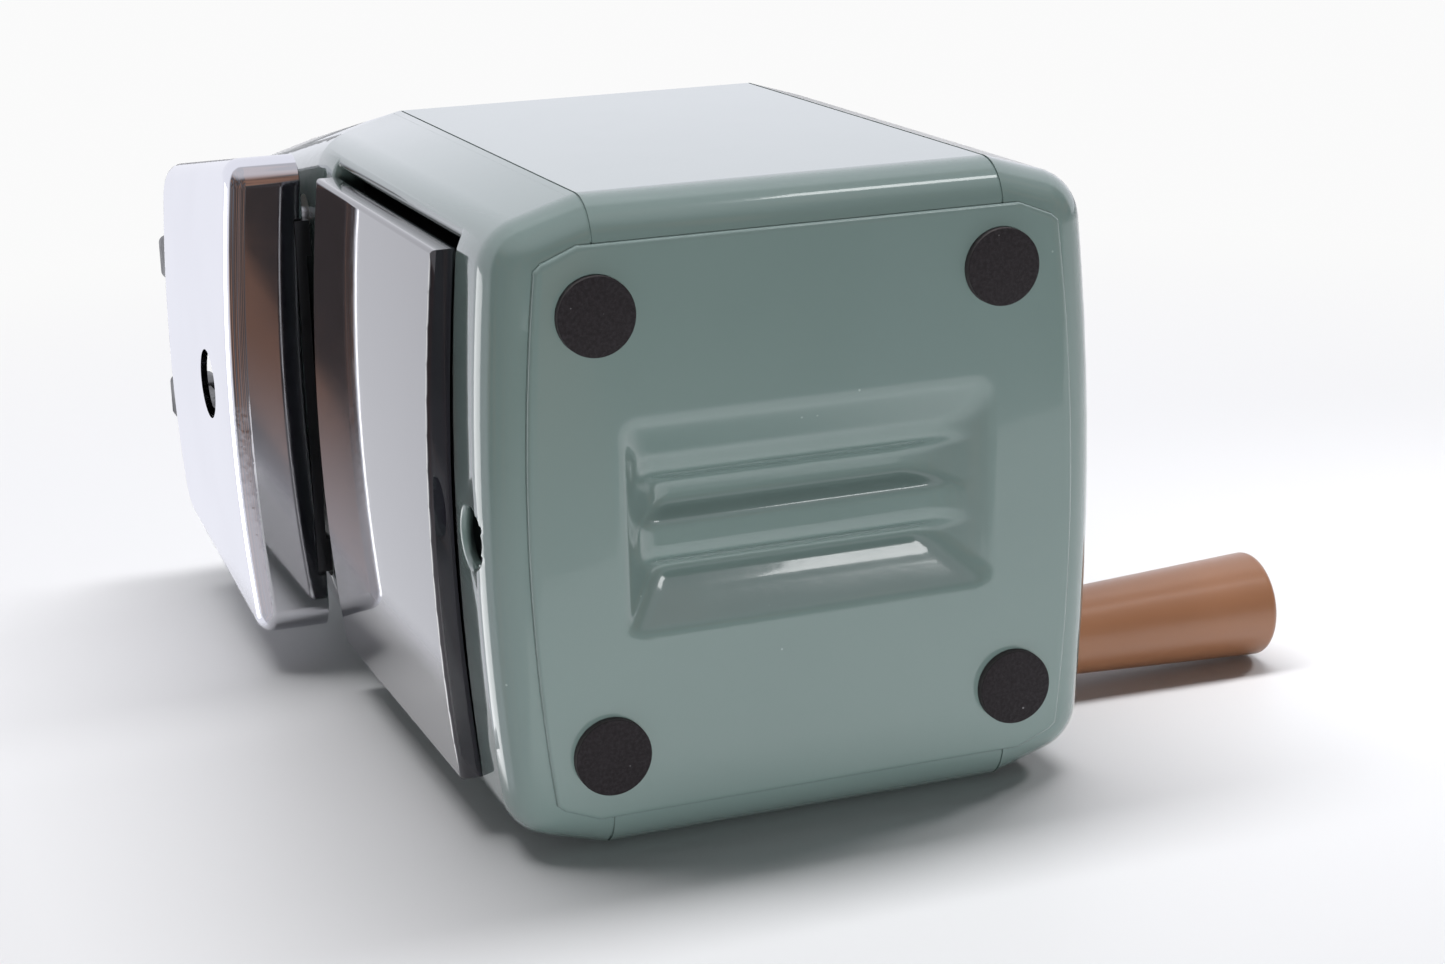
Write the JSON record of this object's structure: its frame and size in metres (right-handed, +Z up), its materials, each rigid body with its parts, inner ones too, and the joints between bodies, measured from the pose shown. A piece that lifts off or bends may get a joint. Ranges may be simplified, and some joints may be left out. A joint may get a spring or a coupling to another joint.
{
  "type": "pencil sharpener",
  "caption": "Hand-cranked desk pencil sharpener with painted shell, plated spring-loaded feed plate, pinch-lever chuck, chips drawer, rear crank and rubber feet.",
  "frame": {"origin": "on the table, at the centre of the four feet", "axes": "+Z up, front with the pencil hole towards -Y, crank at +Y"},
  "size_m": [0.0672, 0.1124, 0.121],
  "materials": {
    "body_paint": "gloss",
    "foot_rubber": "matt",
    "drawer_black": "gloss",
    "smoke_plastic": "gloss",
    "chrome": "mirror",
    "black_plastic": "satin",
    "steel": "satin",
    "yellow_passivate": "satin",
    "die_casting": "cast",
    "nylon": "satin",
    "bronze": "sintered",
    "knob_plastic": "satin"
  },
  "bodies": {
    "casing": {"front_cover": "body_paint", "rear_cover": "body_paint", "body_wrap": "body_paint", "base_plate": "body_paint", "rubber_feet": "foot_rubber", "clamp_socket": "yellow_passivate", "drawer_rails": "steel", "chip_shelf": "black_plastic", "mechanism_frame": "die_casting", "front_bush": "bronze", "rear_bush": "bronze", "ring_gear": "nylon", "rod_bushes": "black_plastic", "frame_screws": "steel"},
    "drawer": {"drawer_front": "drawer_black", "drawer_bin": "smoke_plastic"},
    "crank": {"crank_arm": "chrome", "drive_shaft": "steel", "crank_collar": "chrome", "crank_bolt": "chrome", "knob_pin": "steel", "knob_washer": "steel", "cutter_carrier": "die_casting", "cutter_axle": "steel"},
    "knob": {"crank_knob": "knob_plastic"},
    "cutter": {"helical_cutter": "steel", "cutter_pinion": "steel"},
    "feed": {"feed_plate": "chrome", "feed_frame": "black_plastic", "guide_rods": "chrome", "rod_clips": "steel", "feed_springs": "steel", "lever_pins": "steel"},
    "lever_left": {"pinch_lever_left": "black_plastic"},
    "lever_right": {"pinch_lever_right": "black_plastic"},
    "jaw_top": {"jaw_top": "black_plastic"},
    "jaw_left": {"jaw_left": "black_plastic"},
    "jaw_right": {"jaw_right": "black_plastic"}
  },
  "joints": [
    {"name": "drawer_slide", "type": "slide", "parent": "casing", "child": "drawer", "axis": [0, -1, 0], "range_m": [0, 0.054]},
    {"name": "crank_turn", "type": "hinge", "parent": "casing", "child": "crank", "pos_m": [0, 0.03, 0.085], "axis": [0, 1, 0], "continuous": true},
    {"name": "knob_turn", "type": "hinge", "parent": "crank", "child": "knob", "pos_m": [-0.02729, 0.05, 0.027], "axis": [0, 1, 0], "continuous": true},
    {"name": "cutter_turn", "type": "hinge", "parent": "crank", "child": "cutter", "pos_m": [0, 0.0494, 0.085], "axis": [0, 0.9833, 0.1822], "continuous": true},
    {"name": "feed_slide", "type": "slide", "parent": "casing", "child": "feed", "axis": [0, -1, 0], "range_m": [0, 0.036], "stiffness_N_per_m": 120, "springref_m": -0.02, "deforming": ["feed_springs"]},
    {"name": "lever_left_pinch", "type": "hinge", "parent": "feed", "child": "lever_left", "pos_m": [-0.0095, -0.0398, 0.099], "axis": [0, 1, 0], "range_deg": [0, 12], "stiffness_Nm_per_rad": 0.02, "springref_deg": -28.65},
    {"name": "lever_right_pinch", "type": "hinge", "parent": "feed", "child": "lever_right", "pos_m": [0.0095, -0.0398, 0.099], "axis": [0, 1, 0], "range_deg": [-12, 0]},
    {"name": "jaw_top_slide", "type": "slide", "parent": "feed", "child": "jaw_top", "axis": [0, 0, 1], "range_m": [0, 0.0013]},
    {"name": "jaw_left_slide", "type": "slide", "parent": "feed", "child": "jaw_left", "axis": [-0.866, 0, -0.5], "range_m": [0, 0.0013]},
    {"name": "jaw_right_slide", "type": "slide", "parent": "feed", "child": "jaw_right", "axis": [0.866, 0, -0.5], "range_m": [0, 0.0013]}
  ],
  "couplings": [
    {"joint": "cutter_turn", "follows": "crank_turn", "ratio": -2.1667},
    {"joint": "lever_right_pinch", "follows": "lever_left_pinch", "ratio": -1},
    {"joint": "jaw_top_slide", "follows": "lever_left_pinch", "m_per_rad": 0.00573},
    {"joint": "jaw_left_slide", "follows": "lever_left_pinch", "m_per_rad": 0.00573},
    {"joint": "jaw_right_slide", "follows": "lever_left_pinch", "m_per_rad": 0.00573}
  ]
}
